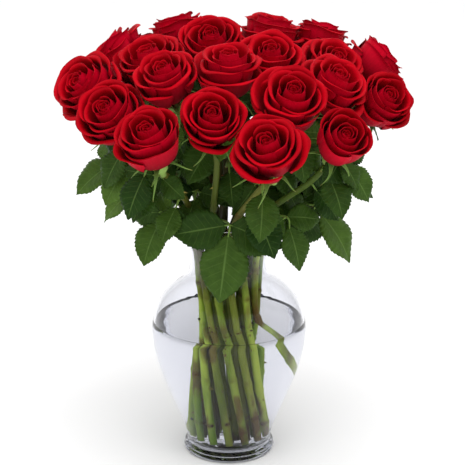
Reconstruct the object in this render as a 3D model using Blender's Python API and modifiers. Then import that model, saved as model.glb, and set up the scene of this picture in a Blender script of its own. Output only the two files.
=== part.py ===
"""Two dozen red roses standing in a clear glass ginger vase of water.

Metres, +Z up. The origin is the centre of the vase's flat foot, and the front faces -Y.
Azimuths are degrees about +Z from +X, so the front is at -90.
"""

import math

import bmesh
import bpy
from mathutils import Matrix, Vector

# Vase: outside radii, the levels where they are reached, and the glass
FOOT_RADIUS = 0.0435
FOOT_HEIGHT = 0.0075
WAIST_RADIUS = 0.0388
WAIST_LEVEL = 0.012
BELLY_RADIUS = 0.0724
BELLY_LEVEL = 0.122
NECK_RADIUS = 0.0365
NECK_LEVEL = 0.178
RIM_RADIUS = 0.0455
VASE_HEIGHT = 0.2285
WALL = 0.0026
FLOOR = 0.0085
VASE_STEPS = 32

# Water
WATER_LEVEL = 0.1285

# Stems: inside the vase they are straight lines of a hyperboloid, tightest at the bind
STEM_RADIUS = 0.0037
STEM_TOP_RADIUS = 0.0028
STEM_FOOT = 0.0140
BIND_LEVEL = 0.105
SPREAD_DEPTH = 0.0365
BUNDLE_SHARE = 0.74
RING_STEP = 2.2
CALYX_RADIUS = 0.0068
CALYX_LENGTH = 0.013
RISE_POINTS = 4

# Blooms
BLOOM_RADIUS = 0.0262
BLOOM_HEIGHT = 0.046
FACE_SHARE = 0.80
CUP_SHARE = 0.60
BLOOM_SIDES = 15
PETAL_LOBES = 5
GOLDEN_ANGLE = 137.5
CUP_ROOM = 0.99
SETTLING_ROUNDS = 60

# Leaves
LEAF_THICKNESS = 0.0012
LEAF_WIDTH_SHARE = 0.64
LEAF_FOLD = 0.10
LEAF_ARCH = 0.08
SIDE_LEAF_SHARE = 0.82
SIDE_LEAF_ANGLE = 74
SIDE_LEAF_STEP = 0.003
STALK_RADIUS = 0.0011
END_STALK = 0.009

# Gap left between pieces that touch
CLEARANCE = 0.0004

# Rings of stems: steps in from the outermost ring, first azimuth at the bind, and how far out
# the stems lie where they pass the rim
RINGS = {
    "inner": (2, -90, 0.28),
    "middle": (1, -118, 0.62),
    "outer": (0, -92, 1.0),
}

# Roses of each ring in order of azimuth. Where the face's centre is wanted (x, y, height over
# the rim), then the lean from upright, the lean's azimuth, and the bloom's size.
ROSES = {
    "inner": [
        (0.000, -0.050, 0.160, 26, -88, 1.05),
        (0.038, -0.012, 0.161, 20, -50, 1.0),
        (-0.016, 0.026, 0.170, 10, -90, 1.1),
    ],
    "middle": [
        (-0.055, -0.062, 0.150, 36, -105, 1.05),
        (0.058, -0.088, 0.141, 48, -80, 1.2),
        (0.100, -0.040, 0.136, 42, -60, 1.05),
        (0.102, 0.018, 0.148, 26, -20, 1.0),
        (0.078, 0.076, 0.160, 26, 45, 1.0),
        (0.052, 0.064, 0.170, 16, 60, 1.05),
        (-0.050, 0.078, 0.165, 24, 125, 1.0),
        (-0.074, 0.000, 0.152, 26, -140, 1.05),
    ],
    "outer": [
        (-0.023, -0.106, 0.124, 42, -98, 1.05),
        (0.033, -0.130, 0.110, 42, -88, 1.15),
        (0.096, -0.100, 0.107, 42, -62, 1.05),
        (0.136, -0.022, 0.122, 50, -35, 1.05),
        (0.136, 0.046, 0.140, 46, 20, 1.0),
        (0.112, 0.102, 0.122, 50, 42, 1.0),
        (0.042, 0.132, 0.122, 50, 72, 1.0),
        (-0.022, 0.132, 0.124, 50, 100, 1.0),
        (-0.084, 0.108, 0.132, 48, 128, 1.0),
        (-0.108, 0.048, 0.150, 42, 165, 1.0),
        (-0.134, -0.016, 0.132, 50, -165, 1.1),
        (-0.104, -0.078, 0.120, 46, -130, 1.05),
        (-0.062, -0.114, 0.113, 44, -112, 1.1),
    ],
}

# One stem bends away from the rest and leans its foot on the glass: ring and place in it, then
# azimuth, level and share of the way out to the glass, from the foot up to where it joins the others
BENT_STEM = ("outer", 3)
BENT_FOOT = ((-3, 0.078, 1.0), (-6, 0.092, 0.82), (-9, 0.110, 0.62))
BENT_JOIN_LEVEL = 0.134

# Compound leaves: the stem's ring and place, how far over the rim the stalk leaves it, the way
# from there to where the leaflets spread and from there to the tip of the end leaflet, and how many
# pairs of side leaflets there are
SPRAYS = [
    ("outer", 0, 0.0075, (0.015, -0.027, 0.004), (-0.009, -0.012, -0.069), 1),
    ("outer", 11, 0.0100, (-0.017, -0.037, 0.010), (-0.018, -0.018, -0.044), 1),
    ("outer", 11, 0.0300, (-0.030, 0.008, 0.004), (-0.033, -0.012, -0.032), 2),
    ("outer", 10, 0.0455, (-0.038, 0.012, 0.008), (-0.045, -0.010, -0.035), 2),
    ("outer", 1, 0.0075, (0.045, -0.018, 0.012), (0.012, -0.012, -0.046), 1),
    ("outer", 3, 0.0115, (0.036, -0.008, 0.006), (0.033, -0.010, -0.050), 2),
    ("outer", 4, 0.0235, (0.038, 0.038, 0.006), (0.048, -0.008, -0.020), 2),
    ("outer", 6, 0.0175, (0.015, 0.028, 0.004), (0.014, 0.028, -0.054), 2),
    ("outer", 8, 0.0175, (-0.027, 0.027, 0.004), (-0.020, 0.024, -0.052), 2),
    ("outer", 7, 0.0335, (0.001, 0.040, 0.006), (0.002, 0.042, -0.038), 1),
]


def clear_scene():
    for old in list(bpy.data.objects):
        bpy.data.objects.remove(old)


def new_collection(name):
    made = bpy.data.collections.new(name)
    bpy.context.scene.collection.children.link(made)
    return made


def new_material(name, colour, roughness, alpha=1.0):
    made = bpy.data.materials.new(name)
    made.use_nodes = True
    shader = made.node_tree.nodes["Principled BSDF"]
    shader.inputs["Base Color"].default_value = (*colour, 1.0)
    shader.inputs["Roughness"].default_value = roughness
    shader.inputs["Metallic"].default_value = 0.0
    shader.inputs["Alpha"].default_value = alpha
    return made


def bezier(start, out, into, end, steps):
    """Points of a cubic curve, leaving out its first."""
    ends = [Vector(p) for p in (start, out, into, end)]
    points = []
    for i in range(1, steps + 1):
        t = i / steps
        weights = ((1 - t) ** 3, 3 * t * (1 - t) ** 2, 3 * t * t * (1 - t), t**3)
        points.append(sum((p * w for p, w in zip(ends, weights)), Vector([0.0] * len(start))))
    return points


def around(azimuth, reach, level):
    """A point given by azimuth in degrees, distance from the vase's axis, and height."""
    turn = math.radians(azimuth)
    return Vector((reach * math.cos(turn), reach * math.sin(turn), level))


# Vase and water


def wall_outline():
    """The vase's outside from the foot's waist up to the rim, as (radius, level)."""
    start = (WAIST_RADIUS, WAIST_LEVEL)
    belly = (BELLY_RADIUS, BELLY_LEVEL)
    shoulder = (NECK_RADIUS + 0.004, NECK_LEVEL - 0.008)
    neck = (NECK_RADIUS, NECK_LEVEL + 0.004)
    rim = (RIM_RADIUS, VASE_HEIGHT - WALL / 2)
    body_rise = BELLY_LEVEL - WAIST_LEVEL
    shoulder_rise = NECK_LEVEL - BELLY_LEVEL
    throat_rise = VASE_HEIGHT - NECK_LEVEL
    points = [Vector(start)]
    points += bezier(
        start,
        (WAIST_RADIUS + 0.006, WAIST_LEVEL + 0.25 * body_rise),
        (BELLY_RADIUS, BELLY_LEVEL - 0.366 * body_rise),
        belly,
        7,
    )
    points += bezier(
        belly,
        (BELLY_RADIUS, BELLY_LEVEL + 0.42 * shoulder_rise),
        (shoulder[0] + 0.0164, shoulder[1] - 0.008),
        shoulder,
        6,
    )
    points += bezier(
        shoulder,
        (NECK_RADIUS + 0.001, NECK_LEVEL - 0.004),
        (NECK_RADIUS, NECK_LEVEL),
        neck,
        3,
    )
    points += bezier(
        neck,
        (NECK_RADIUS + 0.0005, NECK_LEVEL + 0.35 * throat_rise),
        (RIM_RADIUS - 0.005, VASE_HEIGHT - 0.3 * throat_rise),
        rim,
        5,
    )
    return points


def moved_inwards(outline, distance):
    """The outline shifted along its own normals, towards the axis."""
    moved = []
    for i, point in enumerate(outline):
        along = outline[min(i + 1, len(outline) - 1)] - outline[max(i - 1, 0)]
        normal = Vector((-along.y, along.x)).normalized()
        moved.append(point + normal * distance)
    return moved


def radius_at(outline, level):
    """How far from the axis an outline is where it first rises past a level."""
    for below, above in zip(outline, outline[1:]):
        if below.y <= level <= above.y and above.y > below.y:
            return below.lerp(above, (level - below.y) / (above.y - below.y)).x
    return outline[-1].x


def hollow_outline(gap):
    """The inside of the vase from its floor's centre to the rim, drawn in by a gap."""
    inside = [p for p in moved_inwards(wall_outline(), WALL + gap) if p.y > FLOOR + 0.006]
    corner = 0.004
    floor_edge = WAIST_RADIUS - WALL - gap
    floor = FLOOR + gap
    start = [Vector((0, floor)), Vector((floor_edge - corner, floor))]
    return start + [Vector((floor_edge - 0.3 * corner, floor + 0.3 * corner))] + inside


def turned(name, outline, collection, material):
    """A solid of revolution from an outline that runs down its outer side."""
    mesh = bpy.data.meshes.new(name)
    corners = [(p.x, 0, p.y) for p in outline]
    mesh.from_pydata(corners, [(i, i + 1) for i in range(len(corners) - 1)], [])
    made = bpy.data.objects.new(name, mesh)
    collection.objects.link(made)
    screw = made.modifiers.new("turn", "SCREW")
    screw.steps = VASE_STEPS
    screw.render_steps = VASE_STEPS
    screw.use_merge_vertices = True
    screw.merge_threshold = 0.00001
    screw.use_smooth_shade = True
    made.data.materials.append(material)
    return made


def make_vase(collection, material):
    outside = wall_outline()
    lip = [outside[-1] + Vector((-WALL / 2, WALL / 2))]
    foot = [
        Vector((WAIST_RADIUS + 0.0004, FOOT_HEIGHT + 0.0025)),
        Vector((FOOT_RADIUS - 0.0012, FOOT_HEIGHT)),
        Vector((FOOT_RADIUS, FOOT_HEIGHT - 0.002)),
        Vector((FOOT_RADIUS - 0.0012, 0.0022)),
        Vector((FOOT_RADIUS - 0.0055, 0)),
        Vector((0, 0)),
    ]
    outline = hollow_outline(0) + lip + outside[::-1] + foot
    return turned("vase", outline, collection, material)


def make_water(collection, material, cutters):
    """The water fills the vase to its level, with a hole for each stem that stands in it."""
    wet = [p for p in hollow_outline(CLEARANCE) if p.y < WATER_LEVEL - 0.002]
    edge = radius_at(hollow_outline(CLEARANCE), WATER_LEVEL)
    outline = [Vector((0, WATER_LEVEL)), Vector((edge, WATER_LEVEL))] + wet[::-1]
    water = turned("water", outline, collection, material)
    cut = water.modifiers.new("stems", "BOOLEAN")
    cut.operation = "DIFFERENCE"
    cut.operand_type = "COLLECTION"
    cut.collection = cutters
    return water


# Blooms


def lean_direction(rose):
    lean, azimuth = math.radians(rose[3]), rose[4]
    return around(azimuth, math.sin(lean), math.cos(lean))


def settled():
    """Each bloom's base once the heads press on their neighbours: ring to a list of points."""
    cups = []
    for ring, roses in ROSES.items():
        for slot, rose in enumerate(roses):
            below_face = (FACE_SHARE - CUP_SHARE) * BLOOM_HEIGHT * rose[5]
            middle = Vector(rose[:3]) + Vector((0, 0, VASE_HEIGHT)) - lean_direction(rose) * below_face
            cups.append([middle, rose, ring])
    for _ in range(SETTLING_ROUNDS):
        for i, first in enumerate(cups):
            for second in cups[i + 1 :]:
                apart = second[0] - first[0]
                room = CUP_ROOM * BLOOM_RADIUS * (first[1][5] + second[1][5]) + CLEARANCE
                push = 0.5 * (room - apart.length)
                if push > 0:
                    first[0] = first[0] - apart.normalized() * push
                    second[0] = second[0] + apart.normalized() * push
    bases = {ring: [] for ring in ROSES}
    for middle, rose, ring in cups:
        bases[ring].append(middle - lean_direction(rose) * CUP_SHARE * BLOOM_HEIGHT * rose[5])
    return bases


def bloom_mesh():
    """A rose head about +Z from its base: an outer cup of lobed petals around a rising bud."""
    # Height and radius as shares, then how deep the lobes are and how far they are turned.
    sections = (
        (0.00, 0.24, 0.00, 0),
        (0.16, 0.60, 0.02, 0),
        (0.46, 0.90, 0.03, 0),
        (0.74, 0.97, 0.05, 0),
        (0.82, 0.92, 0.07, 0),
        (0.73, 0.66, 0.05, 0),
        (0.93, 0.52, 0.08, 36),
        (1.00, 0.28, 0.10, 36),
    )
    shape = bmesh.new()
    rings = []
    for height, radius, depth, turn in sections:
        ring = []
        for side in range(BLOOM_SIDES):
            azimuth = 360 * side / BLOOM_SIDES
            lobe = 1 + depth * math.cos(math.radians(PETAL_LOBES * (azimuth - turn)))
            ring.append(shape.verts.new(around(azimuth, BLOOM_RADIUS * radius * lobe, BLOOM_HEIGHT * height)))
        rings.append(ring)
    for below, above in zip(rings, rings[1:]):
        for side in range(BLOOM_SIDES):
            after = (side + 1) % BLOOM_SIDES
            shape.faces.new((below[side], below[after], above[after], above[side]))
    shape.faces.new(rings[0][::-1])
    heart = shape.verts.new((0, 0, 0.94 * BLOOM_HEIGHT))
    for side in range(BLOOM_SIDES):
        shape.faces.new((rings[-1][side], rings[-1][(side + 1) % BLOOM_SIDES], heart))
    mesh = bpy.data.meshes.new("bloom")
    shape.to_mesh(mesh)
    shape.free()
    mesh.shade_smooth()
    return mesh


def make_blooms(collection, material, bases):
    mesh = bloom_mesh()
    mesh.materials.append(material)
    number = 0
    for ring, roses in ROSES.items():
        for base, rose in zip(bases[ring], roses):
            number += 1
            bloom = bpy.data.objects.new(f"bloom_{number:02d}", mesh)
            upright = lean_direction(rose).to_track_quat("Z", "X").to_matrix().to_4x4()
            spin = Matrix.Rotation(math.radians(GOLDEN_ANGLE * number), 4, "Z")
            bloom.matrix_world = Matrix.Translation(base) @ upright @ spin @ Matrix.Scale(rose[5], 4)
            collection.objects.link(bloom)


# Stems


def tube(name, points, radii, collection, material=None):
    """A round rod through the points, with its own radius at each."""
    curve = bpy.data.curves.new(name, "CURVE")
    curve.dimensions = "3D"
    curve.bevel_depth = 1.0
    curve.bevel_resolution = 1
    curve.use_fill_caps = True
    spline = curve.splines.new("POLY")
    spline.points.add(len(points) - 1)
    for bead, point, radius in zip(spline.points, points, radii):
        bead.co = (*point, 1)
        bead.radius = radius
    made = bpy.data.objects.new(name, curve)
    collection.objects.link(made)
    if material:
        made.data.materials.append(material)
    return made


def as_helper(curve_object):
    """A closed mesh in place of the curve, that only serves a Boolean."""
    bpy.context.view_layer.update()
    graph = bpy.context.evaluated_depsgraph_get()
    mesh = bpy.data.meshes.new_from_object(curve_object.evaluated_get(graph))
    shape = bmesh.new()
    shape.from_mesh(mesh)
    bmesh.ops.remove_doubles(shape, verts=shape.verts, dist=0.00001)
    shape.to_mesh(mesh)
    shape.free()
    helper = bpy.data.objects.new(curve_object.name + "_helper", mesh)
    for collection in curve_object.users_collection:
        collection.objects.link(helper)
    bpy.data.objects.remove(curve_object)
    helper.hide_render = True
    helper.display_type = "WIRE"
    return helper


def ring_line(ring, slot):
    """The straight stretch of a stem inside the vase: a function from level to point.

    All the rings twist by the same angle, so that no stem crosses another, and the outermost
    just clears the neck.
    """
    steps, first, _ = RINGS[ring]
    bore = NECK_RADIUS - WALL
    outermost = BUNDLE_SHARE * bore
    radius = outermost - steps * RING_STEP * STEM_RADIUS
    in_neck = bore - STEM_RADIUS - 3 * CLEARANCE
    climb = VASE_HEIGHT - SPREAD_DEPTH - BIND_LEVEL
    run = math.sqrt(in_neck**2 - outermost**2) / climb * radius / outermost
    azimuth = first + 360 * slot / len(ROSES[ring])
    at_bind = around(azimuth, radius, BIND_LEVEL)
    sideways = around(azimuth + 90, run, -1)
    return lambda level: at_bind + sideways * (BIND_LEVEL - level)


def wet_path(ring, slot):
    """The part of a stem inside the vase, from its cut foot upwards."""
    line = ring_line(ring, slot)
    top = line(VASE_HEIGHT - SPREAD_DEPTH)
    if (ring, slot) != BENT_STEM:
        return [line(STEM_FOOT), top]
    glass = hollow_outline(1.35 * STEM_RADIUS)
    bend = [around(azimuth, share * radius_at(glass, level), level) for azimuth, level, share in BENT_FOOT]
    return bend + [line(BENT_JOIN_LEVEL), top]


def at_rim(ring, mouth, shoulder):
    """Where a stem passes the rim on its way out to its bloom."""
    outermost = RIM_RADIUS - WALL - STEM_RADIUS - 3 * CLEARANCE
    heading = mouth.xy.normalized().lerp(shoulder.xy.normalized(), 0.35).normalized()
    over = heading * outermost * RINGS[ring][2]
    return Vector((over.x, over.y, VASE_HEIGHT + CLEARANCE))


def stem_path(ring, slot, base):
    """The points of a stem from its cut foot to the underside of its bloom."""
    rose = ROSES[ring][slot]
    axis = lean_direction(rose)
    top = base - axis * CLEARANCE
    shoulder = top - axis * CALYX_LENGTH
    wet = wet_path(ring, slot)
    mouth = wet[-1]
    rim = at_rim(ring, mouth, shoulder)
    climb = (mouth - wet[-2]).normalized()
    onward = ((rim - mouth).normalized() + (shoulder - rim).normalized()).normalized()
    low, high = (rim - mouth).length, (shoulder - rim).length
    rise = bezier(mouth, mouth + climb * 0.35 * low, rim - onward * 0.35 * low, rim, 2)
    rise += bezier(rim, rim + onward * 0.35 * high, shoulder - axis * 0.35 * high, shoulder, RISE_POINTS)
    calyx = [top - axis * CALYX_LENGTH * share for share in (0.55, 0.2, 0)]
    return wet + rise + calyx


def stem_radii(path):
    """Tapers up the stem, then swells into the calyx over the last three points."""
    slim = len(path) - 3
    taper = [STEM_RADIUS + (STEM_TOP_RADIUS - STEM_RADIUS) * i / (slim - 1) for i in range(slim)]
    return taper + [0.62 * CALYX_RADIUS, 0.95 * CALYX_RADIUS, CALYX_RADIUS]


def make_stems(collection, cutters, material, bases):
    number = 0
    for ring, roses in ROSES.items():
        for slot in range(len(roses)):
            number += 1
            path = stem_path(ring, slot, bases[ring][slot])
            tube(f"stem_{number:02d}", path, stem_radii(path), collection, material)
            wet = wet_path(ring, slot)
            as_helper(tube(f"hole_{number:02d}", wet, [STEM_RADIUS + CLEARANCE] * len(wet), cutters))


# Leaves


def leaflet(name, base, tip, facing, width, collection):
    """A pointed blade, folded along its midrib and arched, as a closed helper mesh."""
    along = tip - base
    side = along.cross(facing).normalized()
    up = side.cross(along).normalized()
    # Share of the length, then the width and the thickness there as shares
    stations = (
        (0.0, 0.025, 0.5),
        (0.16, 0.56, 1.0),
        (0.42, 1.0, 1.0),
        (0.68, 0.80, 1.0),
        (0.87, 0.38, 0.8),
        (1.0, 0.04, 0.5),
    )
    shape = bmesh.new()
    rings = []
    for share, spread, body in stations:
        arch = up * along.length * LEAF_ARCH * 4 * share * (1 - share)
        middle = base + along * share + arch
        half = 0.5 * width * spread
        edge_rise = up * LEAF_FOLD * 2 * half
        thick = up * 0.5 * LEAF_THICKNESS * body
        ring = (middle + side * half + edge_rise, middle + thick, middle - side * half + edge_rise, middle - thick)
        rings.append([shape.verts.new(p) for p in ring])
    for below, above in zip(rings, rings[1:]):
        for i in range(4):
            j = (i + 1) % 4
            shape.faces.new((below[i], below[j], above[j], above[i]))
    shape.faces.new(rings[0][::-1])
    shape.faces.new(rings[-1])
    bmesh.ops.recalc_face_normals(shape, faces=shape.faces)
    mesh = bpy.data.meshes.new(name)
    shape.to_mesh(mesh)
    shape.free()
    made = bpy.data.objects.new(name, mesh)
    made.hide_render = True
    made.display_type = "WIRE"
    collection.objects.link(made)
    return made


def at_level(path, level):
    """Where a stem's centreline passes a level, and its direction there."""
    for below, above in zip(path, path[1:]):
        if below.z <= level <= above.z:
            break
    return below.lerp(above, (level - below.z) / (above.z - below.z)), (above - below).normalized()


def make_spray(number, spray, bases, collection, material):
    """A compound leaf: a stalk with an end leaflet and side leaflets, all joined."""
    ring, slot, over_rim, out, blade, pairs = spray
    path = stem_path(ring, slot, bases[ring][slot])
    on_stem, climb = at_level(path, VASE_HEIGHT + over_rim)
    out, reach = Vector(out), Vector(blade)
    clear = (out - climb * out.dot(climb)).normalized()
    start = on_stem + clear * (STEM_RADIUS + CLEARANCE + 1.6 * STALK_RADIUS)
    fork = on_stem + out
    tip = fork + reach
    outward = fork - start
    blade_length = reach.length - END_STALK
    facing = Vector((fork.x, fork.y, 0)).normalized() + Vector((0, 0, 0.6))
    end_base = fork + reach.normalized() * END_STALK
    neck = fork + reach.normalized() * (END_STALK + STALK_RADIUS)
    points = [start, start.lerp(fork, 0.5) + Vector((0, 0, 0.06 * outward.length)), fork, neck]
    helpers = new_collection(f"leaflets_{number:02d}")
    width = blade_length * LEAF_WIDTH_SHARE
    leaflet(f"end_{number:02d}", end_base, tip, facing, width, helpers)
    side_axis = reach.cross(facing).normalized()
    flat = side_axis.cross(reach).normalized()
    for pair, (root, behind) in enumerate(((fork, points[1]), (points[1], start))[:pairs]):
        for hand, step in ((-1, 0.0), (1, SIDE_LEAF_STEP)):
            turn = Matrix.Rotation(math.radians(hand * SIDE_LEAF_ANGLE), 3, flat)
            heading = (turn @ reach).normalized()
            blade_base = root + (behind - root).normalized() * step
            blade_tip = blade_base + heading * blade_length * SIDE_LEAF_SHARE
            name = f"side_{number:02d}_{pair}{'lr'[hand > 0]}"
            leaflet(name, blade_base, blade_tip, facing, width * SIDE_LEAF_SHARE, helpers)
    radii = [STALK_RADIUS * share for share in (1.3, 1.0, 0.9, 0.8)]
    stalk = tube(f"stalk_{number:02d}", points, radii, helpers)
    spray_mesh = as_helper(stalk)
    spray_mesh.name = f"leaf_{number:02d}"
    helpers.objects.unlink(spray_mesh)
    collection.objects.link(spray_mesh)
    spray_mesh.hide_render = False
    spray_mesh.display_type = "TEXTURED"
    spray_mesh.data.materials.append(material)
    join = spray_mesh.modifiers.new("leaflets", "BOOLEAN")
    join.operation = "UNION"
    join.operand_type = "COLLECTION"
    join.collection = helpers


def main():
    clear_scene()
    parts = new_collection("roses_in_vase")
    cutters = new_collection("cutters")
    glass = new_material("glass", (0.93, 0.95, 0.96), 0.03, 0.3)
    water = new_material("water", (0.90, 0.94, 0.92), 0.02, 0.3)
    stem = new_material("stem", (0.17, 0.30, 0.05), 0.55)
    leaf = new_material("leaf", (0.03, 0.12, 0.03), 0.45)
    petal = new_material("petal", (0.62, 0.0, 0.02), 0.6)
    bases = settled()
    make_stems(parts, cutters, stem, bases)
    make_blooms(parts, petal, bases)
    for number, spray in enumerate(SPRAYS, 1):
        make_spray(number, spray, bases, parts, leaf)
    make_vase(parts, glass)
    make_water(parts, water, cutters)


main()
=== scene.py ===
"""Two dozen red roses in a clear glass vase of water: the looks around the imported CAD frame.

Each rose head, stem and compound leaf is built in mesh code on the axis, path and size of its CAD
solid. Some heads are then lowered, turned or narrowed by the amounts named below, and the leaves
under the heads are placed at random. The vase and its water are turned from the CAD outline.
"""

import math

import bpy
import numpy as np
from mathutils import Matrix, Vector


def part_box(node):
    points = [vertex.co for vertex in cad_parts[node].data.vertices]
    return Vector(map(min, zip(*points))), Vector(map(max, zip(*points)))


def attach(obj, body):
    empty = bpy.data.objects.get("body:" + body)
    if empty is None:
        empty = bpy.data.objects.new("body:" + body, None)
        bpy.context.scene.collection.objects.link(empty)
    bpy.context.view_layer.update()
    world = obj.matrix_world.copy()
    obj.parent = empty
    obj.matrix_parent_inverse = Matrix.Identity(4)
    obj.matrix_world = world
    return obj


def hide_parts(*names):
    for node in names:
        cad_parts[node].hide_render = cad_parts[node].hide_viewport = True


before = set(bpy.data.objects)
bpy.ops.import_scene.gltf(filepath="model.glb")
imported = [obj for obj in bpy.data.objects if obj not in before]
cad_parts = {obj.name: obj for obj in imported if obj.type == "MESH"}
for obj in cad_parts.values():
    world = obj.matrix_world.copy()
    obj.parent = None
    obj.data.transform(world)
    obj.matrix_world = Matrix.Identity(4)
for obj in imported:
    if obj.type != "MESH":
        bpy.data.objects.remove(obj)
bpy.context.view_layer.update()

# Camera and image
IMAGE_PIXELS = 465
PIXEL_SIZE = 0.00092
SENSOR = 36.0
VIEW_DISTANCE = 1.41
VIEW_ELEVATION = 18.0
VIEW_TARGET = (0.0, 0.0, 0.2138)
VIEW_SHIFT = 3.5 / IMAGE_PIXELS

# Rose heads, numbered from 1
HEAD_COUNT = 24
GOLDEN_ANGLE = math.radians(137.5)
PETAL_ROWS = 17
PETAL_COLUMNS = 15
PETAL_THICKNESS = 0.00032
HEAD_SPREAD = 0.95
HEAD_HEIGHT = 0.89
# Heads whose middles are nearer than this press on each other, and how softly
NEAR_HEADS = 0.09
PRESS_ROOM = 0.0035
# How wide a petal's point is, and how much of its tilt and wave show at its rim
POINT_WIDTH = 0.24
TILT_SHARE = 0.6
FRILL_SHARE = 0.3
# A head less open than this has no guard petals
GUARDED_OPENNESS = 0.3
# In a head more open than this, one guard petal flares out further
FALLEN_OPENNESS = 0.55
FALLEN_FLARE = 0.14

# The layers of petals from the heart outwards: how many, and from the layer's first petal to its
# last the radius, half of the angle it spans, the rim's height, how far it closes over the heart,
# flares, rolls back (radians) and how long the rolled lip is, how one edge tucks in, how it cups
LAYERS = (
    {"name": "heart", "count": 6, "loose": 0.0, "radius": (0.045, 0.15), "half": (125, 105),
     "top": (0.885, 0.925), "close": (0.015, 0.045), "flare": (0, 0), "roll": (0.2, 0.3),
     "lip": (0.03, 0.04), "spiral": (0.020, 0.024), "cup": (0, 0.01), "wave": (0.003, 0.006)},
    {"name": "inner", "count": 7, "loose": 0.1, "radius": (0.19, 0.43), "half": (98, 80),
     "top": (0.945, 0.985), "close": (0.08, 0.13), "flare": (0, 0.01), "roll": (0.4, 0.9),
     "lip": (0.05, 0.09), "spiral": (0.030, 0.042), "cup": (0.02, 0.05), "wave": (0.010, 0.018)},
    {"name": "middle", "count": 4, "loose": 0.4, "radius": (0.52, 0.66), "half": (80, 74),
     "top": (0.98, 0.94), "close": (0.09, 0.03), "flare": (0.02, 0.05), "roll": (0.9, 1.4),
     "lip": (0.12, 0.18), "spiral": (0.046, 0.046), "cup": (0.06, 0.07), "wave": (0.020, 0.026)},
    {"name": "outer", "count": 4, "loose": 0.8, "radius": (0.74, 0.82), "half": (72, 66),
     "top": (0.91, 0.83), "close": (0.0, 0.0), "flare": (0.02, 0.05), "roll": (1.7, 2.3),
     "lip": (0.16, 0.19), "spiral": (0.040, 0.040), "cup": (0.09, 0.09), "wave": (0.022, 0.026)},
    {"name": "guard", "count": 4, "loose": 1.0, "radius": (0.87, 0.92), "half": (64, 58),
     "top": (0.78, 0.60), "close": (0.0, 0.0), "flare": (0.06, 0.10), "roll": (2.2, 2.7),
     "lip": (0.18, 0.22), "spiral": (0.03, 0.03), "cup": (0.08, 0.08), "wave": (0.024, 0.030)},
)
# The height of a head over its radius, for the slope at which a petal's lip starts
TALL = 1.75

# Stems
HIP_LENGTH = 0.013
HIP_RADIUS = 0.0068
# Shares of the hip's length and radius, from its shoulder up
HIP_PROFILE = ((-0.25, 0.40), (0.0, 0.44), (0.22, 0.62), (0.45, 0.92), (0.66, 1.0),
               (0.84, 0.88), (0.97, 0.98))
STEM_SIDES = 12
STEM_STEP = 0.0035
# Radius at the foot, halfway and at the top
STEM_RADII = (0.0034, 0.0032, 0.0026)
STEM_WOBBLE = 0.00035
NODE_SPACING = 0.043
NODE_SWELLING = 0.0007
THORN_SPACING = 0.028
THORN_SIZE = (0.0018, 0.0042)
SEPAL_LENGTH = (0.024, 0.037)
SEPAL_WIDTH = 0.0030
SEPAL_ROWS = 15
SEPAL_COLUMNS = 5
BENT_STEM = 15
# Stems in the shade of the others, and how far they take the shade's colour
INNER_STEMS = range(1, 12)
INNER_SHADE = 0.72
INNER_COLOUR = (0.05, 0.035, 0.015, 1)

# How open each head is, from 0, a closed cup, to 1, fully blown. The rest are OPENNESS_USUAL.
OPENNESS_USUAL = 0.5
OPENNESS = {1: 0.95, 2: 0.9, 4: 0.8, 5: 0.65, 6: 0.8, 7: 0.8, 11: 0.6, 12: 0.55, 13: 0.75, 14: 0.12,
            15: 0.3, 21: 0.8, 22: 0.6, 24: 0.35}

# Heads that sit lower than their solids do, and by how much
LOWERED = {1: 0.003, 2: 0.003, 3: 0.004, 5: 0.010, 7: 0.002, 8: 0.002, 9: 0.007, 12: 0.004, 13: 0.004}

# Heads narrower or wider than the rest, and by what share
RADIUS_SHARE = {1: 0.94, 4: 0.9, 5: 0.88, 11: 1.1, 12: 0.94, 13: 0.89, 15: 0.92, 24: 0.95}

# Heads that face more to the front than their solids do: lean from upright and azimuth, degrees
FACING = {2: (30, -82), 3: (32, -98), 7: (36, -50), 15: (50, -58), 21: (44, 178), 22: (54, -138),
          23: (48, -118)}

# Compound leaves, in the order of leaf_01 to leaf_10: their stem, how far over the rim the stalk
# leaves it, the way from there to the fork, from the fork to the end leaflet's tip, the pairs of
# side leaflets, and how light the green is
LEAVES = [
    (12, 0.0075, (0.015, -0.027, 0.004), (-0.009, -0.012, -0.069), 1, 0.10),
    (23, 0.0100, (-0.017, -0.037, 0.010), (-0.018, -0.018, -0.044), 1, 0.1),
    (23, 0.0300, (-0.030, 0.008, 0.004), (-0.033, -0.012, -0.032), 2, 1.1),
    (22, 0.0455, (-0.038, 0.012, 0.008), (-0.045, -0.010, -0.035), 2, 0.7),
    (13, 0.0075, (0.045, -0.018, 0.012), (0.012, -0.012, -0.046), 1, 0.4),
    (15, 0.0115, (0.036, -0.008, 0.006), (0.033, -0.010, -0.050), 2, 0.2),
    (16, 0.0235, (0.038, 0.038, 0.006), (0.048, -0.008, -0.020), 2, 0.1),
    (18, 0.0175, (0.015, 0.028, 0.004), (0.014, 0.028, -0.054), 2, 0.3),
    (20, 0.0175, (-0.027, 0.027, 0.004), (-0.020, 0.024, -0.052), 2, 0.3),
    (19, 0.0335, (0.001, 0.040, 0.006), (0.002, 0.042, -0.038), 1, 0.3),
]
LEAF_WIDTH_SHARE = 0.72
SIDE_LEAF_SHARE = 0.88
SIDE_LEAF_ANGLE = 74
SIDE_LEAF_STEP = 0.003
END_STALK = 0.009
STALK_RADIUS = 0.0011
LEAF_THICKNESS = 0.0004
LEAF_TEETH = 13
# How wide the blade is along its length, as places along it and shares of half its width
LEAF_OUTLINE = ((0, 0.04, 0.14, 0.30, 0.46, 0.62, 0.78, 0.90, 0.97, 1.0),
                (0.03, 0.22, 0.62, 0.93, 1.0, 0.90, 0.62, 0.30, 0.10, 0.015))
# Places along one tooth, and how far out its edge is there
TOOTH_STEPS = (0.0, 0.4, 0.75, 0.97)
TOOTH_DEPTH = (0.0011, 0.0004)
VEIN_PAIRS = 8
LEAF_COLUMNS = 9
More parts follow.
